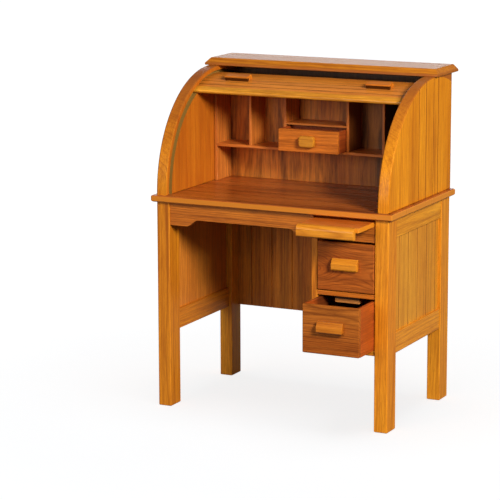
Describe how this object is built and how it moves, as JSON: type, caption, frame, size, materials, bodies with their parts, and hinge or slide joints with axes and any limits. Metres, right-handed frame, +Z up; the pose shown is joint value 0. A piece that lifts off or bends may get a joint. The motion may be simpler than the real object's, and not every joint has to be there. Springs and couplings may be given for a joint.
{
  "type": "roll top desk",
  "caption": "Wooden roll top desk in doll furniture scale: slatted roll lid, pigeonholes with a small drawer, pull-out writing slide and a drawer pedestal.",
  "frame": {"origin": "middle of the bounding box in plan, on the plane under the feet, as the desk stands with its writing slide and lower drawer partly out", "axes": "+Z up, the front with the drawers and the open lid faces -Y, +X to the right seen from the front"},
  "size_m": [0.29, 0.234, 0.3808],
  "materials": {
    "frame_wood": "satin varnish, golden honey",
    "panel_wood": "satin varnish, golden honey",
    "desktop_wood": "satin varnish, reddish brown",
    "drawer_front_wood": "satin varnish, mid brown, strong grain",
    "drawer_box_wood": "thin varnish, reddish",
    "pull_wood": "satin varnish, light golden",
    "curtain_wood": "satin varnish, light honey",
    "pigeonhole_wood": "thin varnish, dark reddish brown"
  },
  "bodies": {
    "desk_case": {"leg_front_left": "frame_wood", "leg_front_right": "frame_wood", "leg_back_left": "frame_wood", "leg_back_right": "frame_wood", "top_rail_left": "frame_wood", "top_rail_right": "frame_wood", "low_rail_left": "frame_wood", "low_rail_right": "frame_wood", "partition": "frame_wood", "drawer_rail": "frame_wood", "pedestal_rail": "frame_wood", "upper_side_left": "frame_wood", "upper_side_right": "frame_wood", "top_board": "frame_wood", "side_panel_left": "panel_wood", "side_panel_right": "panel_wood", "back_panel": "panel_wood", "upper_back": "panel_wood", "desktop": "desktop_wood", "apron": "drawer_front_wood", "runner_upper_left": "drawer_box_wood", "runner_upper_right": "drawer_box_wood", "runner_lower_left": "drawer_box_wood", "runner_lower_right": "drawer_box_wood", "slide_guide_left": "drawer_box_wood", "slide_guide_right": "drawer_box_wood", "stop_block": "pull_wood", "unit_back": "pigeonhole_wood", "unit_end_left": "pigeonhole_wood", "unit_end_right": "pigeonhole_wood", "unit_shelf": "pigeonhole_wood", "unit_divider_1": "pigeonhole_wood", "unit_divider_2": "pigeonhole_wood", "unit_divider_3": "pigeonhole_wood", "unit_divider_4": "pigeonhole_wood", "unit_drawer_shelf": "pigeonhole_wood"},
    "lid": {"lid_slats": "curtain_wood", "lid_rail": "curtain_wood", "lid_pull_left": "pull_wood", "lid_pull_right": "pull_wood"},
    "lid_rear": {"lid_rear_slats": "curtain_wood"},
    "slide": {"slide_board": "desktop_wood", "slide_lip": "pull_wood"},
    "top_drawer": {"top_drawer_front": "drawer_front_wood", "top_drawer_side_left": "drawer_box_wood", "top_drawer_side_right": "drawer_box_wood", "top_drawer_back": "drawer_box_wood", "top_drawer_bottom": "drawer_box_wood", "top_drawer_pull": "pull_wood"},
    "low_drawer": {"low_drawer_front": "drawer_front_wood", "low_drawer_side_left": "drawer_box_wood", "low_drawer_side_right": "drawer_box_wood", "low_drawer_back": "drawer_box_wood", "low_drawer_bottom": "drawer_box_wood", "low_drawer_pull": "pull_wood"},
    "small_drawer": {"small_drawer_front": "drawer_front_wood", "small_drawer_box": "drawer_box_wood", "small_drawer_knob": "pull_wood"}
  },
  "joints": [
    {"name": "lid_roll", "type": "hinge", "parent": "desk_case", "child": "lid", "pos_m": [0, 0.058, 0.2425], "axis": [1, 0, 0], "range_deg": [-1, 61.8]},
    {"name": "lid_rear_roll", "type": "hinge", "parent": "desk_case", "child": "lid_rear", "pos_m": [0, 0.058, 0.2425], "axis": [1, 0, 0], "range_deg": [-0.4, 21.1]},
    {"name": "writing_slide", "type": "slide", "parent": "desk_case", "child": "slide", "axis": [0, -1, 0], "range_m": [-0.0407, 0.045]},
    {"name": "top_drawer_slide", "type": "slide", "parent": "desk_case", "child": "top_drawer", "axis": [0, -1, 0], "range_m": [0, 0.095]},
    {"name": "low_drawer_slide", "type": "slide", "parent": "desk_case", "child": "low_drawer", "axis": [0, -1, 0], "range_m": [-0.0385, 0.055]},
    {"name": "small_drawer_slide", "type": "slide", "parent": "desk_case", "child": "small_drawer", "axis": [0, -1, 0], "range_m": [-0.022, 0.004]}
  ],
  "couplings": [
    {"joint": "lid_rear_roll", "follows": "lid_roll", "ratio": 0.34}
  ]
}
